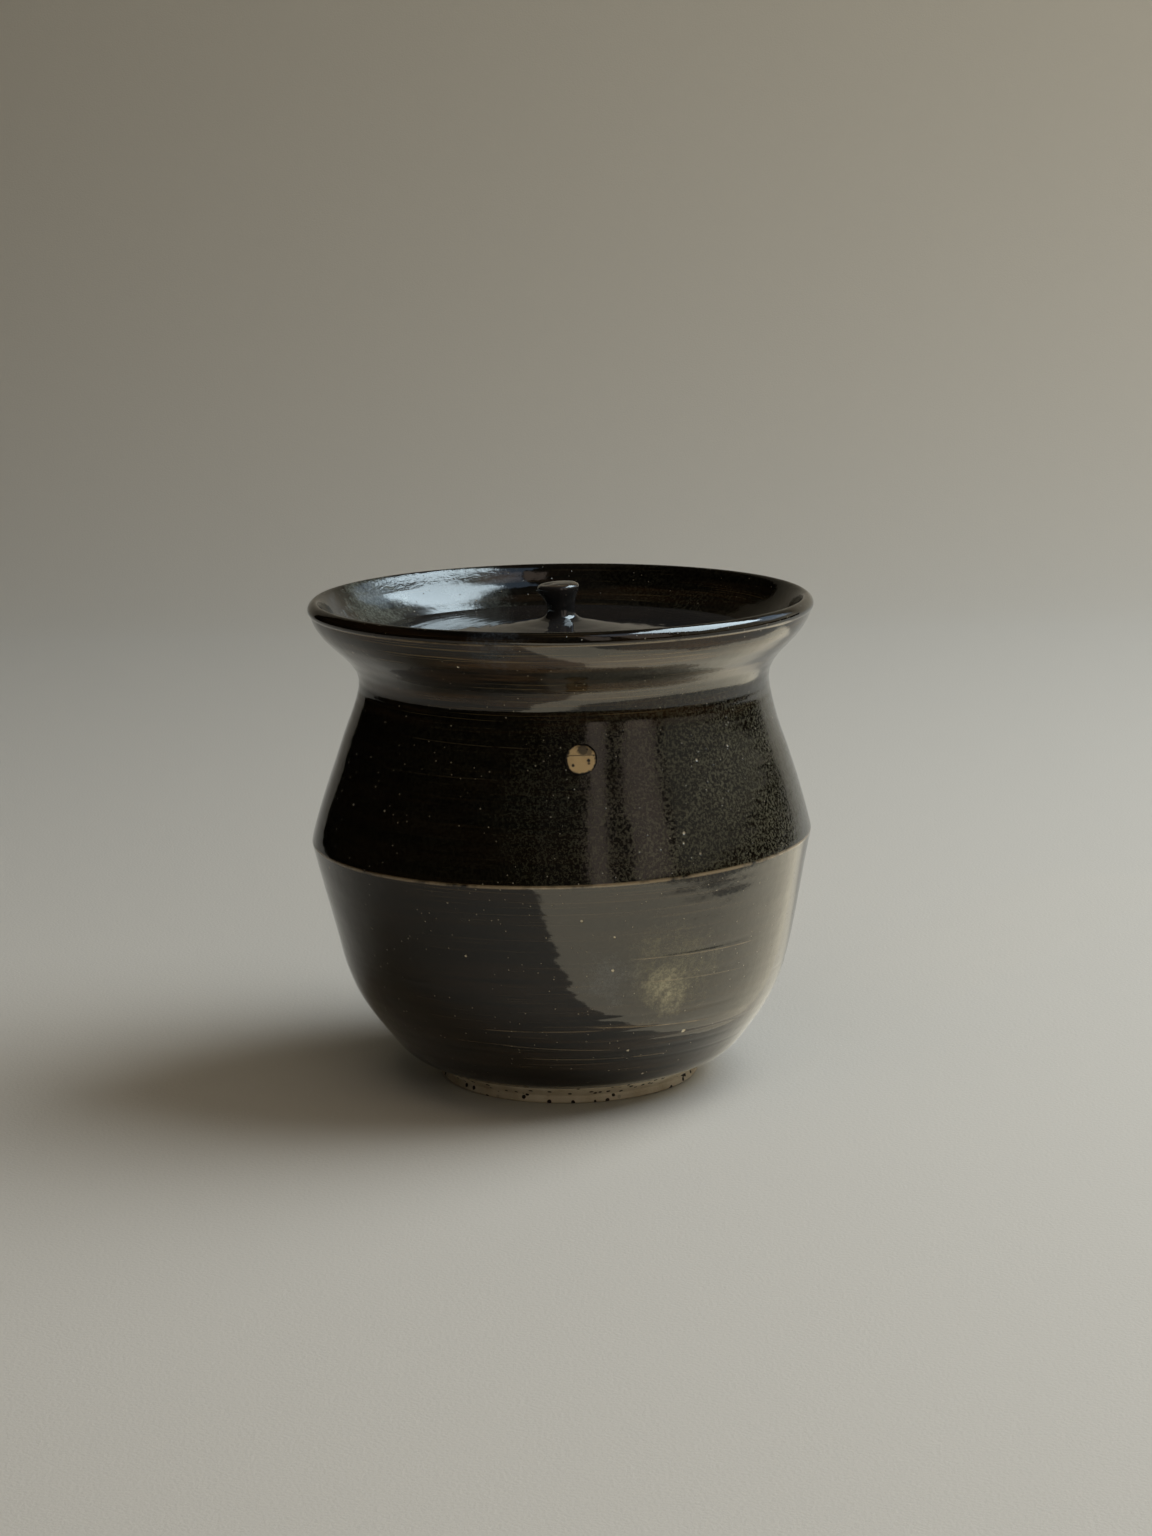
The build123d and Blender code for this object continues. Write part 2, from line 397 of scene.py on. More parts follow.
glazeLook = {
    "black": "#0b0906",
    "brown": "#46331f",
    "tan": "#83704f",
    "worn": "#8d7d64",
    "olive": "#525142",
    "paleAndGlint": "#aaa18c",
    # each noise: the width and height of its features in mm, its detail and roughness
    "noises": {
        "streaks": (34.0, 1.3, 4, 0.55), "broad": (60.0, 5.0, 2, 0.55), "hairs": (48.0, 0.5, 2, 0.55),
        "clouds": (16.0, 16.0, 3, 0.55), "crystals": (0.95, 0.95, 4, 0.75), "ripple": (2.6, 2.6, 2, 0.55),
        "worn": (7.0, 7.0, 3, 0.55), "crinkle": (2.4, 0.9, 3, 0.55),
    },
    # how a noise turns into a mark: between which levels it rises, and from which strength to which
    "marks": {"hairs": (0.6, 0.7, 0, 0.65), "clouds": (0.3, 0.64, 0.55, 1), "crystals": (0.46, 0.585, 0, 1),
              "worn": (0.3, 0.5, 0, 1)},
    "brownLevels": (0.91, 1.17),  # of streaks and broad together
    # painted light: the olive crystals show more from left to right, where the light falls from the right,
    # between these places in mm
    "crystalsLitSide": (-20, 60),
    "crystalsShadedLeast": 0.13,
    # inside the flare there is less brown: it lies where radius - slope * height is below this edge, in mm
    "flareSlope": 0.716, "flareEdge": (-34.2, -32.4), "insideBrown": 0.3,
    # blooms and painted sheen: what they show between and on the crystals, and how far they are torn, with their
    # edge, in shares of their reach
    "bloomAndSheenGrain": (0.35, 0.5), "bloomAndSheenTear": 1.5, "bloomAndSheenEdge": (-0.25, -1.3),
    # spacing in mm, width from rim to core in shares of it, and what part of them shows
    "pinholes": {"spacing": 9.0, "width": (0.055, 0.03), "chance": (0.45, 0.5), "strength": 1},
    "freckles": {"spacing": 2.4, "width": (0.11, 0.06), "chance": (0.45, 0.47), "strength": 0.5},
    # rim and core of a speck, and the core of a bare line, in shares of their width
    "speckEdge": (0.62, 0.3), "breakEdge": 0.35,
    "spanFade": 5,  # mm
    # roughness of the clear parts, and what streaks and crystals add to it
    "haze": 0.012, "streakHaze": 0.1, "crystalHaze": 0.16,
    # mm that each noise and mark stands out
    "relief": {"clouds": 0.2, "streaks": 0.011, "worn": 0.045, "ripple": 0.014},
    "pitRelief": -0.15,
    "crystalRelief": 0.012,
}


def makeGlaze(name, look, byHeight, breaks, specks=(), bloomsAndSheen=(), crawl=None):
    # Iron glaze on stoneware, poured and fired to a glassy black. Its skin gives sharp reflections, dulled by the
    # fine olive crystals in it, and it is brown where it runs thin over a throwing line or an edge.
    material, tree, surface = newMaterial(name, IOR=1.5)
    place = addNode(tree, "ShaderNodeTexCoord", {}, "Object")
    sideways = addNode(tree, "ShaderNodeSeparateXYZ", {"Vector": place}, "X")
    height = addNode(tree, "ShaderNodeSeparateXYZ", {"Vector": place}, "Z")
    flat = addNode(tree, "ShaderNodeVectorMath", {0: place, 1: (1, 1, 0)}, operation="MULTIPLY")
    radius = addNode(tree, "ShaderNodeVectorMath", {0: flat}, "Value", operation="LENGTH")
    noises = {}
    for key, (width, tall, detail, roughness) in look["noises"].items():
        scale = (1000 / width, 1000 / width, 1000 / tall)
        scaled = addNode(tree, "ShaderNodeMapping", {"Vector": place, "Scale": scale})
        noises[key] = addNode(tree, "ShaderNodeTexNoise", {"Vector": scaled, "Scale": 1.0, "Detail": detail,
                                                           "Roughness": roughness})
    marks = {}
    for key, (low, high, least, most) in look["marks"].items():
        marks[key] = addNode(tree, "ShaderNodeMapRange", {"Value": noises[key], "From Min": low, "From Max": high,
                                                          "To Min": least, "To Max": most})

    # brown where the glaze is thin, in throwing lines that run round the pot
    highest = 165  # mm
    share = addNode(tree, "ShaderNodeMapRange", {"Value": height, "From Min": 0, "From Max": highest * mm})
    layers = addNode(tree, "ShaderNodeValToRGB", {"Fac": share})
    stops = layers.node.color_ramp.elements
    for i, (level, brown, olive) in enumerate(byHeight):
        stop = stops[i] if i < 2 else stops.new(level / highest)
        stop.position, stop.color = level / highest, (brown, olive, 0, 1)
    thin = addNode(tree, "ShaderNodeSeparateColor", {"Color": layers}, "Red")
    inner, outer = look["flareEdge"]
    outside = addNode(tree, "ShaderNodeMath", {0: height, 1: -look["flareSlope"], 2: radius}, operation="MULTIPLY_ADD")
    outside = addNode(tree, "ShaderNodeMapRange", {"Value": outside, "From Min": inner * mm, "From Max": outer * mm,
                                                   "To Min": look["insideBrown"]})
    thin = addNode(tree, "ShaderNodeMath", {0: thin, 1: outside}, operation="MULTIPLY")
    thick = addNode(tree, "ShaderNodeSeparateColor", {"Color": layers}, "Green")
    low, high = look["brownLevels"]
    lines = addNode(tree, "ShaderNodeMath", {0: noises["streaks"], 1: noises["broad"]}, operation="ADD")
    lines = addNode(tree, "ShaderNodeMapRange", {"Value": lines, "From Min": low, "From Max": high})
    lines = addNode(tree, "ShaderNodeMath", {0: lines, 1: thin}, operation="MULTIPLY")
    hairs = addNode(tree, "ShaderNodeMath", {0: marks["hairs"], 1: thin}, operation="MULTIPLY")

    # olive crystals where it is thick
    # painted light: fewer crystals on the shaded left, more on the lit right
    left, right = look["crystalsLitSide"]
    side = addNode(tree, "ShaderNodeMapRange", {"Value": sideways, "From Min": left * mm, "From Max": right * mm,
                                                "To Min": look["crystalsShadedLeast"]})
    denseAndLit = marks["clouds"]
    for share in (side, thick):
        denseAndLit = addNode(tree, "ShaderNodeMath", {0: denseAndLit, 1: share}, operation="MULTIPLY")
    fine = addNode(tree, "ShaderNodeMath", {0: marks["crystals"], 1: denseAndLit}, operation="MULTIPLY", use_clamp=True)
    coats = [(lines, look["brown"]), (hairs, look["tan"]), (fine, look["olive"])]

    # paler patches with torn edges: partly blooms where the crystals grew close together, partly painted reflections
    # and sheen of a lit floor and the sky
    least, gain = look["bloomAndSheenGrain"]
    grain = addNode(tree, "ShaderNodeMath", {0: marks["crystals"], 1: gain, 2: least}, operation="MULTIPLY_ADD")
    torn = addNode(tree, "ShaderNodeMath", {0: noises["worn"], 1: noises["ripple"]}, operation="ADD")
    for middle, reach, strength, tint in bloomsAndSheen:
        away = addNode(tree, "ShaderNodeVectorMath", {0: place, 1: Vector(middle) * mm}, "Value", operation="DISTANCE")
        away = addNode(tree, "ShaderNodeMath", {0: torn, 1: -reach * mm * look["bloomAndSheenTear"], 2: away},
                       operation="MULTIPLY_ADD")
        rim, core = (reach * mm * share for share in look["bloomAndSheenEdge"])
        bloomAndSheen = addNode(tree, "ShaderNodeMapRange", {"Value": away, "From Min": rim, "From Max": core,
                                                     "To Max": strength}, interpolation_type="SMOOTHSTEP")
        bloomAndSheen = addNode(tree, "ShaderNodeMath", {0: bloomAndSheen, 1: grain}, operation="MULTIPLY", use_clamp=True)
        coats.append((bloomAndSheen, tint))

    # pinholes and freckles where gas broke the glaze, and the larger specks that show at the front; their pale colour
    # is partly their own, partly a painted glint
    pits = 0
    for values in (look["pinholes"], look["freckles"]):
        cells = addNode(tree, "ShaderNodeTexVoronoi", {"Vector": place, "Scale": 1000 / values["spacing"]})
        chance = addNode(tree, "ShaderNodeSeparateColor", {"Color": cells.node.outputs["Color"]})
        low, high = values["chance"]
        chance = addNode(tree, "ShaderNodeMapRange", {"Value": chance, "From Min": low, "From Max": high,
                                                      "To Max": values["strength"]})
        rim, core = values["width"]
        dots = addNode(tree, "ShaderNodeMapRange", {"Value": cells, "From Min": rim, "From Max": core})
        dots = addNode(tree, "ShaderNodeMath", {0: dots, 1: chance}, operation="MULTIPLY")
        pits = addNode(tree, "ShaderNodeMath", {0: pits, 1: dots}, operation="MAXIMUM")
    for *middle, width in specks:
        away = addNode(tree, "ShaderNodeVectorMath", {0: place, 1: Vector(middle) * mm}, "Value", operation="DISTANCE")
        rim, core = (width * mm * share for share in look["speckEdge"])
        speck = addNode(tree, "ShaderNodeMapRange", {"Value": away, "From Min": rim, "From Max": core})
        pits = addNode(tree, "ShaderNodeMath", {0: pits, 1: speck}, operation="MAXIMUM")
    coats.append((pits, look["paleAndGlint"]))

    # the glaze runs off each sharp edge and line and leaves it bare and brown, all round or over a span
    for level, tilt, pitch, width, strength, least, (start, end) in breaks:
        slopes = (-math.tan(math.radians(tilt)), math.tan(math.radians(pitch)), 1)
        aside = addNode(tree, "ShaderNodeVectorMath", {0: place, 1: slopes}, "Value", operation="DOT_PRODUCT")
        aside = addNode(tree, "ShaderNodeMath", {0: aside, 1: level * mm}, operation="SUBTRACT")
        aside = addNode(tree, "ShaderNodeMath", {0: aside}, operation="ABSOLUTE")
        core = width * mm * look["breakEdge"]
        bare = addNode(tree, "ShaderNodeMapRange", {"Value": aside, "From Min": width * mm, "From Max": core,
                                                    "To Max": strength})
        limits = [addNode(tree, "ShaderNodeMath", {0: radius, 1: least * mm}, operation="GREATER_THAN")]
        for edge, full in ((start, start + look["spanFade"]), (end, end - look["spanFade"])):
            limits.append(addNode(tree, "ShaderNodeMapRange", {"Value": sideways, "From Min": edge * mm,
                                                               "From Max": full * mm}))
        for limit in (*limits, marks["worn"]):
            bare = addNode(tree, "ShaderNodeMath", {0: bare, 1: limit}, operation="MULTIPLY")
        coats.append((bare, look["worn"]))
    colour = hexColour(look["black"])
    for mask, tint in coats:
        colour = addNode(tree, "ShaderNodeMix", {0: mask, 6: colour, 7: hexColour(tint)}, 2, data_type="RGBA")
    tree.links.new(colour, surface.inputs["Base Color"])

    haze = look["haze"]
    for source, rough in ((noises["streaks"], look["streakHaze"]), (fine, look["crystalHaze"])):
        haze = addNode(tree, "ShaderNodeMath", {0: source, 1: rough, 2: haze}, operation="MULTIPLY_ADD")
    # slow waves of the glaze, throwing lines, ripples and craters
    reliefs = [(noises[key], tall) for key, tall in look["relief"].items()] + [(pits, look["pitRelief"])]
    if crawl:
        # round one place it crawled and cooled more slowly, so that it is duller, and crinkled from a height up
        reach, lowest = crawl["reach"] * mm, crawl["lowest"] * mm
        away = addNode(tree, "ShaderNodeVectorMath", {0: place, 1: Vector(crawl["middle"]) * mm}, "Value",
                       operation="DISTANCE")
        crawled = addNode(tree, "ShaderNodeMapRange", {"Value": away, "From Min": reach, "From Max": reach / 2})
        haze = addNode(tree, "ShaderNodeMath", {0: crawled, 1: crawl["haze"], 2: haze}, operation="MULTIPLY_ADD")
        atRim = addNode(tree, "ShaderNodeMapRange", {"Value": height, "From Min": lowest, "From Max": lowest + 2 * mm,
                                                     "To Min": crawl["below"]})
        crinkle = noises["crinkle"]
        for share in (crawled, atRim):
            crinkle = addNode(tree, "ShaderNodeMath", {0: crinkle, 1: share}, operation="MULTIPLY")
        reliefs.append((crinkle, crawl["relief"]))
    tree.links.new(haze, surface.inputs["Roughness"])
    relief = 0
    for source, tall in (*reliefs, (fine, look["crystalRelief"])):
        relief = addNode(tree, "ShaderNodeMath", {0: source, 1: tall, 2: relief}, operation="MULTIPLY_ADD")
    skin = addNode(tree, "ShaderNodeBump", {"Height": relief, "Strength": 1.0, "Distance": mm})
    tree.links.new(skin, surface.inputs["Normal"])
    return material


allRound = (-90, 90)
jarGlaze = makeGlaze(
    "ironGlaze", glazeLook,
    # height in mm, share of brown, share of crystals
    byHeight=[(0, 0.22, 0.15), (30, 0.18, 0.2), (60, 0.1, 0.25), (79, 0.12, 0.25), (83, 0.05, 0.9), (125, 0.05, 1.0),
              (132, 0.4, 0.6), (154, 0.65, 0.25), (156, 0.2, 0.2)],
    # height in mm, tilt and pitch in degrees, width in mm, strength, least radius and span sideways in mm
    breaks=[
        (81.0, 0.73, 0, 0.7, 0.75, 79, allRound), (154.9, 0, 0.57, 0.4, 0.45, 79, allRound),
        (7.0, 0, 0, 0.7, 0.5, 46, allRound), (56.2, -1.4, 0, 0.3, 0.35, 74, (20, 62)),
        (48.6, -2.3, 0, 0.25, 0.25, 72, (24, 56)), (33.6, -3.6, 0, 0.3, 0.42, 67, (6, 46)),
        (31.7, 0.2, 0, 0.25, 0.3, 66, (-28, 12)), (24.9, -3.4, 0, 0.25, 0.26, 62, (-24, 16)),
        (20.9, -1.2, 0, 0.25, 0.3, 60, (-14, 36)), (121.6, -1.0, 0, 0.25, 0.08, 66, (-52, -8)),
        (112.5, 0.4, 0, 0.25, 0.05, 68, (-60, -20)),
    ],
    # x, y, z and width in mm
    specks=[(37.4, -68.7, 94.6, 1.0), (37.3, -69.9, 91.7, 0.8), (42.6, -68.3, 87.9, 1.1), (35.0, -73.4, 85.4, 1.0),
            (41.7, -57.7, 115.3, 1.0), (37.0, -57.0, 28.2, 1.5), (5.4, -79.3, 69.6, 1.0), (14.8, -74.1, 52.5, 1.0),
            (15.5, -76.5, 63.7, 0.8), (19.4, -62.0, 23.4, 0.9), (-51.0, -54.5, 105.3, 0.7), (-55.9, -52.3, 99.5, 0.7)],
    # place and reach in mm, strength and colour. The olive ones low on the bowl are partly crystal bloom, partly a
    # painted reflection of a lit floor; the blue-grey ones on the bowl, in the rim and on the lip are painted sheen
    bloomsAndSheen=[((34.0, -66.8, 50.0), 16, 0.3, "#6f6a4c"), ((30.8, -67.9, 48.6), 6, 0.4, "#8f8a70"),
            ((32.1, -64.3, 39.3), 4.5, 0.35, "#8f8a70"), ((28.0, -67.6, 43.3), 5, 0.3, "#8f8a70"),
            ((34.8, -65.3, 45.0), 6, 0.35, "#8f8a70"),
            ((13.5, -73.2, 49.0), 9, 0.22, "#5d6670"), ((-9.0, -71.5, 104.0), 17, 0.08, "#4a5552"),
            ((-62, 38, 151), 16, 0.9, "#7a827a"), ((-30, 68, 152), 14, 0.35, "#7a827a"),
            ((-72, 14, 152), 10, 0.5, "#66727c"), ((-20, -79.5, 157), 9, 0.3, "#56636f")],
    # inside the rim at the left: middle, reach and lowest height in mm, the crinkles' relief in mm, the share of it
    # that is left below them, and what the dull part adds to the roughness
    crawl={"middle": (-50, 58, 155), "reach": 42, "lowest": 153.2, "relief": 0.22, "below": 0.15, "haze": 0.1},
)
# painted reflection: the lid's glaze is a lighter grey than the jar's black, for the sheen the lid throws back
lidGlaze = makeGlaze(
    "lidIronGlazePaintedSheen",
    {**glazeLook, "black": "#262627", "brown": "#3a3128", "relief": {**glazeLook["relief"], "ripple": 0.02}},
    byHeight=[(0, 0.1, 0.1), (158, 0.15, 0.1), (162, 0.7, 0.1)],
    breaks=[(163.0, 0, 0, 0.6, 0.3, 4.8, allRound)],
)

clayLook = {
    "grogScale": 1400, "smearScale": 110, "tornScale": 520,  # to the metre
    "wipedLevels": (0.35, 0.7),
    "ironChance": (0.35, 0.4),
    "ironTear": 0.16,
    "ironEdge": (0.08, 0.03),
    "edgeTear": 2,  # mm
    "stainAndShadeTear": 0.3,
    "stainAndShadeEdge": (0.65, 0.45),
    "scratchWidth": (0.2, 0.1),  # mm
    "scratchStrength": 0.7,
    "toothStrength": 0.5,
    "tooth": 0.3,  # mm
}
# iron spots: spacing in mm and width in shares of it; stains and painted shade: x, y, z and width in mm, and strength
footClay = {**clayLook, "buff": "#d6cab2", "dark": "#b3a284", "iron": "#1a110a", "ironSpacing": 2.3, "ironWidth": 0.33,
            # the foot's one stain darkens its left end: painted shade, over a little glaze splash
            "stainsAndShade": [(-46.5, -14, 4, 18, 0.5)]}
spotClay = {**clayLook, "buff": "#b99f73", "dark": "#907850", "iron": "#15100a", "ironSpacing": 2.1, "ironWidth": 0.16,
            "stainsAndShade": [(8.2, -69.8, 118.1, 1.5, 1), (8.3, -69.9, 117.2, 1.1, 0.8), (3.45, -70.55, 116.8, 1.3, 1),
                       (9.86, -69.1, 119.6, 1.0, 1), (1.88, -69.75, 119.5, 0.9, 1), (6.6, -68.7, 121.4, 4.6, 0.85),
                       (8.2, -68.7, 120.6, 3.0, 0.7)],
            # from its middle out, in mm, where glaze starts to stain it; and the height of a scratch across it
            "edge": ((5.9, -69.8, 118.5), 4.1, 4.5), "scratch": 119.6}


def makeClay(name, look):
    # Unglazed buff stoneware, turned and wiped with a sponge: dry and matte, with grog, and iron specks up to
    # 1.5 mm across that bleed brown in the firing
    material, tree, surface = newMaterial(name, Roughness=0.85, IOR=1.5)
    place = addNode(tree, "ShaderNodeTexCoord", {}, "Object")
    grog = addNode(tree, "ShaderNodeTexNoise", {"Vector": place, "Scale": look["grogScale"], "Detail": 3})
    smear = addNode(tree, "ShaderNodeTexNoise", {"Vector": place, "Scale": look["smearScale"], "Detail": 4})
    low, high = look["wipedLevels"]
    wiped = addNode(tree, "ShaderNodeMapRange", {"Value": smear, "From Min": low, "From Max": high})
    colour = addNode(tree, "ShaderNodeMix", {0: wiped, 6: hexColour(look["buff"]), 7: hexColour(look["dark"])}, 2,
                     data_type="RGBA")
    specks = addNode(tree, "ShaderNodeTexVoronoi", {"Vector": place, "Scale": 1000 / look["ironSpacing"]})
    chance = addNode(tree, "ShaderNodeSeparateColor", {"Color": specks.node.outputs["Color"]})
    low, high = look["ironChance"]
    chance = addNode(tree, "ShaderNodeMapRange", {"Value": chance, "From Min": low, "From Max": high})
    ragged = addNode(tree, "ShaderNodeMath", {0: grog, 1: look["ironTear"], 2: specks}, operation="MULTIPLY_ADD")
    rim, core = (look["ironWidth"] + more for more in look["ironEdge"])
    spot = addNode(tree, "ShaderNodeMapRange", {"Value": ragged, "From Min": rim, "From Max": core})
    iron = addNode(tree, "ShaderNodeMath", {0: spot, 1: chance}, operation="MULTIPLY")
    stainsAndShade = []
    if "edge" in look:
        middle, start, end = look["edge"]
        away = addNode(tree, "ShaderNodeVectorMath", {0: place, 1: Vector(middle) * mm}, "Value", operation="DISTANCE")
        torn = addNode(tree, "ShaderNodeTexNoise", {"Vector": place, "Scale": look["tornScale"], "Detail": 3})
        tear = look["edgeTear"]
        away = addNode(tree, "ShaderNodeMath", {0: torn, 1: tear * mm, 2: away}, operation="MULTIPLY_ADD")
        stainsAndShade.append(addNode(tree, "ShaderNodeMapRange", {"Value": away, "From Min": (start + tear / 2) * mm,
                                                           "From Max": (end + tear / 2) * mm}))
    # stains, and on the foot painted shade
    for *middle, width, strength in look["stainsAndShade"]:
        away = addNode(tree, "ShaderNodeVectorMath", {0: place, 1: Vector(middle) * mm}, "Value", operation="DISTANCE")
        away = addNode(tree, "ShaderNodeMath", {0: grog, 1: width * look["stainAndShadeTear"] * mm, 2: away},
                       operation="MULTIPLY_ADD")
        rim, core = (width * mm * share for share in look["stainAndShadeEdge"])
        stainsAndShade.append(addNode(tree, "ShaderNodeMapRange", {"Value": away, "From Min": rim, "From Max": core,
                                                           "To Max": strength}))
    if "scratch" in look:
        height = addNode(tree, "ShaderNodeSeparateXYZ", {"Vector": place}, "Z")
        aside = addNode(tree, "ShaderNodeMath", {0: height, 1: look["scratch"] * mm}, operation="SUBTRACT")
        aside = addNode(tree, "ShaderNodeMath", {0: aside}, operation="ABSOLUTE")
        rim, core = (width * mm for width in look["scratchWidth"])
        stainsAndShade.append(addNode(tree, "ShaderNodeMapRange", {"Value": aside, "From Min": rim, "From Max": core,
                                                           "To Max": look["scratchStrength"]}))
    for stain in stainsAndShade:
        iron = addNode(tree, "ShaderNodeMath", {0: iron, 1: stain}, operation="MAXIMUM")
    colour = addNode(tree, "ShaderNodeMix", {0: iron, 6: colour, 7: hexColour(look["iron"])}, 2, data_type="RGBA")
    tree.links.new(colour, surface.inputs["Base Color"])
    bump = addNode(tree, "ShaderNodeBump", {"Height": grog, "Strength": look["toothStrength"],
                                            "Distance": look["tooth"] * mm})
    tree.links.new(bump, surface.inputs["Normal"])
    return material


bareClay = makeClay("bareStoneware", footClay)
spotStoneware = makeClay("spotStoneware", spotClay)
print("materials made")


wallProfile = {  # (radius, height) in mm
    "bowl": [(45.0, 6.5), (47.0, 6.5), (47.9, 6.6), (48.6, 7.0), (50.2, 7.8), (53.2, 9.0), (56.6, 11.9), (59.7, 16.0),
             (62.7, 20.0), (66.2, 25.0), (69.1, 30.0), (71.6, 36.0), (73.4, 42.0), (75.1, 50.0), (76.85, 58.0),
             (78.6, 66.0), (80.3, 74.0), (81.35, 78.8), (81.7, 80.4), (81.78, 81.0)],
    "shoulder": [(81.78, 81.0), (81.62, 81.9), (81.2, 83.8), (80.3, 87.2), (79.5, 90.0), (77.1, 98.0), (74.4, 106.0),
                 (71.65, 114.0), (69.55, 120.0), (68.2, 124.5), (67.0, 129.0), (66.7, 132.5), (67.2, 136.0),
                 (69.8, 140.2), (73.8, 144.1), (77.4, 148.1), (79.9, 151.8), (81.1, 154.6), (81.5, 156.2)],
    "lip": [(81.5, 156.2), (81.85, 156.3), (82.1, 156.8), (82.2, 157.6), (81.9, 158.6), (81.0, 159.7),
            (79.9, 160.25), (78.9, 159.9), (77.9, 158.6), (76.9, 156.8), (75.9, 155.0), (74.3, 152.4), (71.6, 149.0),
            (68.75, 146.0), (66.7, 143.9), (64.8, 141.5), (63.4, 139.0), (62.3, 136.0), (61.85, 132.0), (62.2, 128.0),
            (63.4, 123.0)],
    "inside": [(63.4, 123.0), (66.5, 114.0), (69.9, 104.0), (73.7, 94.0), (76.6, 86.0), (77.3, 81.5), (77.0, 78.0),
               (74.5, 68.0), (71.5, 56.0), (68.8, 44.0), (65.2, 34.0), (60.9, 26.0), (56.5, 20.0), (51.9, 16.0),
               (48.1, 14.0), (45.4, 13.1), (45.0, 13.0)],
    "floorEdge": [(45.0, 13.0), (45.0, 6.5)],
    "steps": {"bowl": 12, "shoulder": 9, "lip": 6, "inside": 4, "floorEdge": 4},
    "straight": ["floorEdge"],
    "turns": 320,
}

wallSections = {  # name: CAD node, lowest and highest height in mm
    "lowerBowl": ("lower_bowl", None, 81.0),
    "shoulderWall": ("shoulder_wall", 81.0, 123.0),
    "neckCollar": ("neck_collar", 123.0, 141.5),
    "flaredRim": ("flared_rim", 141.5, 154.9),
    "rolledLip": ("lip_bead", 154.9, None),
}


def throwWall(profile):
    wall = turnPiece("wholeWall", profile)
    setMode("EDIT")
    for height in sorted({h for _, *ends in wallSections.values() for h in ends if h}):
        bpy.ops.mesh.select_all(action="SELECT")
        bpy.ops.mesh.bisect(plane_co=(0, 0, height * mm), plane_no=(0, 0, 1), threshold=weld)
    setMode("OBJECT")
    return wall


def cutSection(wall, name, low, high):
    # a copy of the wall between two heights, with its open ends closed
    pick(wall)
    bpy.ops.object.duplicate()
    section = bpy.context.object
    section.name = section.data.name = name
    for height, side in ((low, -1), (high, 1)):
        if height is None:
            continue
        setMode("EDIT")
        bpy.ops.mesh.select_mode(type="FACE")
        bpy.ops.mesh.select_all(action="DESELECT")
        setMode("OBJECT")
        for face in section.data.polygons:
            face.select = (face.center.z - height * mm) * side > 0
        setMode("EDIT")
        bpy.ops.mesh.delete(type="FACE")
        bpy.ops.mesh.select_mode(type="EDGE")
        bpy.ops.mesh.select_non_manifold(extend=False, use_wire=False, use_multi_face=False, use_non_contiguous=False,
                                         use_verts=False)
        bpy.ops.mesh.bridge_edge_loops()
        bpy.ops.mesh.select_all(action="SELECT")
        bpy.ops.mesh.normals_make_consistent(inside=False)
        setMode("OBJECT")
    return section


def strayWithWall(section, finder, movedPlaces, movedNormals):
    # the skin takes the whole wall's places and its smooth normals, so that no joint shows in the gloss; a section's
    # end is flat, so it faces well away from them
    sameSpot, endFacing = 1e-6, 0.6
    nearest = [finder.find(vertex.co) for vertex in section.data.vertices]
    for vertex, (place, index, distance) in zip(section.data.vertices, nearest):
        vertex.co = movedPlaces[index] if distance < sameSpot else strayByHand(vertex.co)
    section.data.update()
    found = [movedNormals[index] for place, index, distance in nearest]
    normals = []
    for face in section.data.polygons:
        isEnd = min(face.normal.dot(found[v]) for v in face.vertices) < endFacing
        normals += [face.normal.copy() if isEnd else found[v] for v in face.vertices]
    section.data.normals_split_custom_set(normals)


# the clay spot: its turn and lean in degrees, its place and size in mm, and its play in its pocket
spotPlace = {"angle": 4.5, "height": 118.5, "radius": 70.1, "lean": 19.3, "width": 4.9, "depth": 1.6, "recess": 0.3,
             "sidePlay": 0.03, "backPlay": 0.02, "grain": 0.05, "dent": 0.12, "dentSize": (4, 4, 1), "turns": 96}


def spotMatrix(values, aside):
    # the middle of the clay spot on the shoulder, with its own Z straight out of the wall
    turn, lean = math.radians(values["angle"]), math.radians(values["lean"])
    middle = Vector((math.sin(turn), -math.cos(turn), 0)) * values["radius"] + Vector((aside, 0, values["height"]))
    out = Vector((math.sin(turn) * math.cos(lean), -math.cos(turn) * math.cos(lean), math.sin(lean)))
    return Matrix.Translation(middle * mm) @ out.to_track_quat("Z", "Y").to_matrix().to_4x4()


def cutSpotPocket(shoulder, values):
    bpy.ops.object.select_all(action="DESELECT")
    long = 10  # mm
    bpy.ops.mesh.primitive_cylinder_add(vertices=values["turns"], radius=values["width"] * mm, depth=long * mm)
    cutter = bpy.context.object
    cutter.data.transform(spotMatrix(values, 0) @ Matrix.Translation((0, 0, (long / 2 - values["depth"]) * mm)))
    pick(shoulder)
    cut = shoulder.modifiers.new("pocket", "BOOLEAN")
    cut.operation, cut.object, cut.solver = "DIFFERENCE", cutter, "EXACT"
    bpy.ops.object.modifier_apply(modifier="pocket")
    bpy.data.objects.remove(cutter)


wholeWall = throwWall(wallProfile)
print("wall thrown:", len(wholeWall.data.polygons), "faces")
sections = {name: cutSection(wholeWall, name, low, high) for name, (node, low, high) in wallSections.items()}
cutSpotPocket(sections["shoulderWall"], spotPlace)
wallFinder = kdtree.KDTree(len(wholeWall.data.vertices))
for index, vertex in enumerate(wholeWall.data.vertices):
    wallFinder.insert(vertex.co, index)
wallFinder.balance()
reshape(wholeWall, strayByHand)
places = [vertex.co.copy() for vertex in wholeWall.data.vertices]
normals = [vertex.normal.copy() for vertex in wholeWall.data.vertices]
for name, section in sections.items():
    strayWithWall(section, wallFinder, places, normals)
    dress(section, "jar", [wallSections[name][0]], jarGlaze)
    print(name, "shaped:", len(section.data.polygons), "faces")
bpy.data.objects.remove(wholeWall)


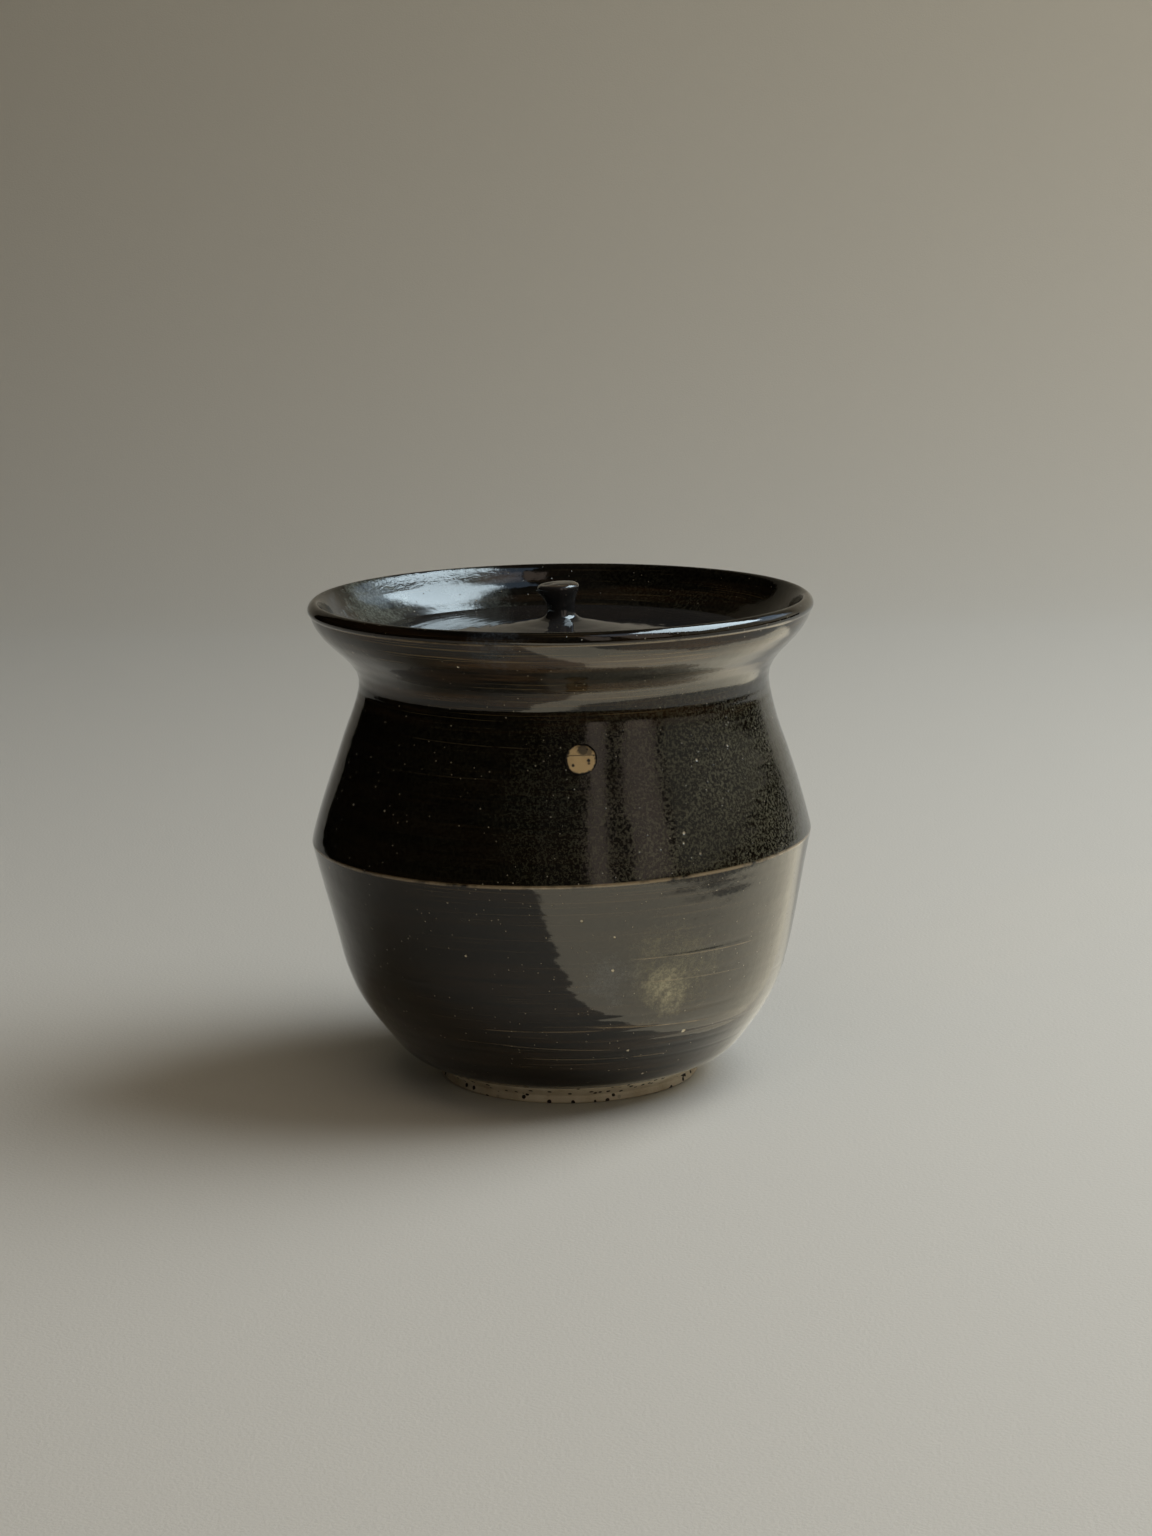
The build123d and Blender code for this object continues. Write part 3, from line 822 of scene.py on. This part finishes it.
def makeSpot(values):
    top, side, bottom = -values["recess"], values["width"] - values["sidePlay"], values["backPlay"] - values["depth"]
    spot = turnPiece("claySpot", {
        "face": [(0, top), (2, top), (3.6, top), (4.5, top - 0.05), (side, top - 0.3)],
        "back": [(side, top - 0.3), (side, bottom), (0, bottom)],
        "steps": {"face": 6, "back": 2},
        "straight": ["back"],
        "turns": values["turns"],
    })

    def rough(place):
        x, y, z = place / mm
        lump = values["grain"] * noise.noise((x, y, z)) + values["dent"] * softNoise((x, y, 3), values["dentSize"])
        return Vector((x, y, z + lump)) * mm if z > top - 0.1 else place
    reshape(spot, rough)
    spot.data.transform(spotMatrix(values, alongTable(handThrown["lean"], values["height"])))
    return spot


footProfile = {
    "sole": [(35.4, 1.2), (35.45, 0.5), (36.1, 0.0), (37.2, 0.0), (40.4, 0.0), (41.9, 0.0), (42.7, 0.35), (42.85, 1.0),
             (42.3, 2.2), (42.35, 2.9), (44.0, 4.1), (46.2, 5.7), (47.1, 6.5)],
    "top": [(47.1, 6.5), (35.4, 6.5), (35.4, 1.2)],
    "steps": {"sole": 5, "top": 3},
    "straight": ["top"],
    "turns": 240,
    "ripple": 0.06, "rippleTurn": 4.5,  # mm, and radians to the mm of height
    "lump": 0.12, "lumpSize": (9, 9, 2),
}
floorProfile = {
    "top": [(0, 12.6), (3, 12.7), (10, 13.0), (20, 12.95), (32, 13.0), (42, 13.0), (45, 13.0)],
    "under": [(45, 13.0), (45, 6.5), (34, 6.5), (20, 6.45), (0, 6.5)],
    "steps": {"top": 14, "under": 8},
    "straight": ["under"],
    "turns": 160,
    # the spiral on its upper face: depth and spacing, start and end, how far it fades in and out, lowest height, in mm
    "coil": 0.25, "coilSpacing": 6, "coilSpan": (1, 43), "coilFades": (4, 5), "skinFrom": 12,
}
ledgeProfile = {
    "seat": [(65.0, 141.5), (61, 141.5), (57.2, 141.5), (56.1, 141.35), (55.85, 140.7), (55.85, 139.4), (56.3, 138.4),
             (58.6, 136.0), (62.3, 132.3)],
    "back": [(62.3, 132.3), (62.6, 136.0), (63.6, 139.0), (65.0, 141.5)],
    "steps": {"seat": 5, "back": 3},
    "turns": 240,
    "shift": 0.65,  # mm to the right, with the neck
}


def makeFoot(profile):
    foot = turnPiece("footRing", profile)

    def turned(place):
        x, y, z = place / mm
        radius, angle = math.hypot(x, y), math.atan2(y, x)
        change = profile["ripple"] * math.sin(z * profile["rippleTurn"] + angle)
        change += profile["lump"] * softNoise((x, y, z), profile["lumpSize"])
        grown = (radius + change * min(1, z)) / radius
        return Vector((x * grown + handThrown["lean"][0][1], y * grown, z)) * mm
    reshape(foot, turned)
    return foot


def makeJarFloor(profile):
    base = turnPiece("jarFloor", profile)
    (start, end), (fadeIn, fadeOut) = profile["coilSpan"], profile["coilFades"]

    def coiled(place):
        # the spiral that a potter's finger leaves on the floor
        x, y, z = place / mm
        radius, angle = math.hypot(x, y), math.atan2(y, x)
        if z > profile["skinFrom"] and start < radius < end:
            wave = 1 + math.sin(math.tau * radius / profile["coilSpacing"] - angle)
            z -= profile["coil"] * wave * min(1, (end - radius) / fadeOut, radius / fadeIn)
        return Vector((x + handThrown["lean"][0][1], y, z)) * mm
    reshape(base, coiled)
    return base


def makeRing(name, profile):
    ring = turnPiece(name, profile)
    reshape(ring, lambda place: place + Vector((profile["shift"], 0, 0)) * mm)
    return ring


dress(makeSpot(spotPlace), "jar", ["clay_spot"], spotStoneware)
dress(makeFoot(footProfile), "jar", ["foot_ring"], bareClay)
dress(makeJarFloor(floorProfile), "jar", ["jar_floor"], jarGlaze)
dress(makeRing("lidGallery", ledgeProfile), "jar", ["lid_gallery"], bareClay)
print("spot, foot, floor and ledge made")


lidShift = 0.5  # mm to the right, as the lid lies in its seat
lidProfile = {
    "top": [(0, 151.5), (3, 151.5), (6, 151.45), (8.5, 151.0), (13, 150.2), (20, 149.1), (28, 148.25), (40, 147.3),
            (52, 146.55), (61, 146.05), (65, 145.9), (66.5, 145.75), (66.75, 145.3), (66.0, 144.2), (64.9, 142.9),
            (64.3, 141.9), (63.8, 141.5)],
    "under": [(63.8, 141.5), (50.7, 141.5), (0, 147.0)],
    "steps": {"top": 9, "under": 10},
    "straight": ["under"],
    "turns": 256,
    # the throwing rings on top: height and spacing, where they start and end, and how far they fade in and out, in mm
    "ring": 0.03, "ringSpacing": 5.5, "ringSpan": (8, 66), "ringFades": (8, 6),
    "lump": 0.06, "lumpSize": (18, 18, 1),
    "skinFrom": 145.5,  # mm, above it is the lid's upper face
}
flangeProfile = {
    "skin": [(54.6, 141.5), (54.7, 138), (54.6, 135.2), (54.4, 134.0), (53.6, 133.5), (52.7, 133.5), (51.6, 133.6),
             (50.9, 134.3), (50.8, 136), (50.75, 141.5)],
    "top": [(50.75, 141.5), (54.6, 141.5)],
    "steps": {"skin": 5, "top": 3},
    "straight": ["top"],
    "turns": 220,
    "shift": lidShift,
}
knobProfile = {
    "skin": [(7.9, 151.0), (7.3, 151.25), (6.2, 151.6), (5.3, 152.3), (4.75, 153.3), (4.5, 154.7), (4.55, 156.1),
             (4.95, 157.5), (5.6, 158.9), (6.3, 160.1), (6.6, 161.2), (6.5, 162.1), (5.7, 162.85), (4.0, 163.2),
             (2.2, 163.3), (0, 163.3)],
    "base": [(0, 150.9), (7.9, 151.0)],
    "steps": {"skin": 6, "base": 4},
    "straight": ["base"],
    "turns": 96,
    # the cap, by height in mm: where it begins, how far it leans; how much wider and flatter it is, and its tilt
    "cap": ((156, 0), (161, 1)), "capLean": ((154, 0), (161.5, -0.9)), "capGrowth": (0.04, -0.03), "capTilt": 0.06,
    # a thumb's dent in it: depth, middle and size in mm
    "dent": 0.45, "dentPlace": (-3.4, -1), "dentSize": 3,
    "lump": 0.25, "lumpSize": 4,
    "highest": 163.45,
}


def makeLidPlate(profile):
    plate = turnPiece("lidPlate", profile)
    (start, end), (fadeIn, fadeOut) = profile["ringSpan"], profile["ringFades"]

    def thrown(place):
        x, y, z = place / mm
        radius, angle = math.hypot(x, y), math.atan2(y, x)
        if radius > start and z > profile["skinFrom"]:
            wave = profile["ring"] * math.sin(math.tau * radius / profile["ringSpacing"] - angle)
            z += wave * min(1, (radius - start) / fadeIn, (end - radius) / fadeOut)
            z += profile["lump"] * softNoise((x, y, 7), profile["lumpSize"])
        return Vector((x + lidShift, y, z)) * mm
    reshape(plate, thrown)
    return plate


def makeKnob(profile):
    knob = turnPiece("lidKnob", profile)
    wider, flatter = profile["capGrowth"]
    dentX, dentY = profile["dentPlace"]

    def pinched(place):
        x, y, z = place / mm
        cap = alongTable(profile["cap"], z)
        x, y = x * (1 + wider * cap), y * (1 + flatter * cap)
        dent = profile["dent"] * math.exp(-((x - dentX) ** 2 + (y - dentY) ** 2) / profile["dentSize"])
        z += cap * (profile["capTilt"] * x - dent)
        lump = Vector((x, y, z)) / profile["lumpSize"]
        x += profile["lump"] * noise.noise(lump) + alongTable(profile["capLean"], z) + lidShift
        y += profile["lump"] * noise.noise(lump + Vector((9, 0, 0)))
        return Vector((x, y, min(z, profile["highest"]))) * mm
    reshape(knob, pinched)
    return knob


dress(makeLidPlate(lidProfile), "lid", ["lid_plate"], lidGlaze)
dress(makeRing("lidFlange", flangeProfile), "lid", ["lid_flange"], bareClay)
dress(makeKnob(knobProfile), "lid", ["lid_knob"], lidGlaze)
print("lid made")
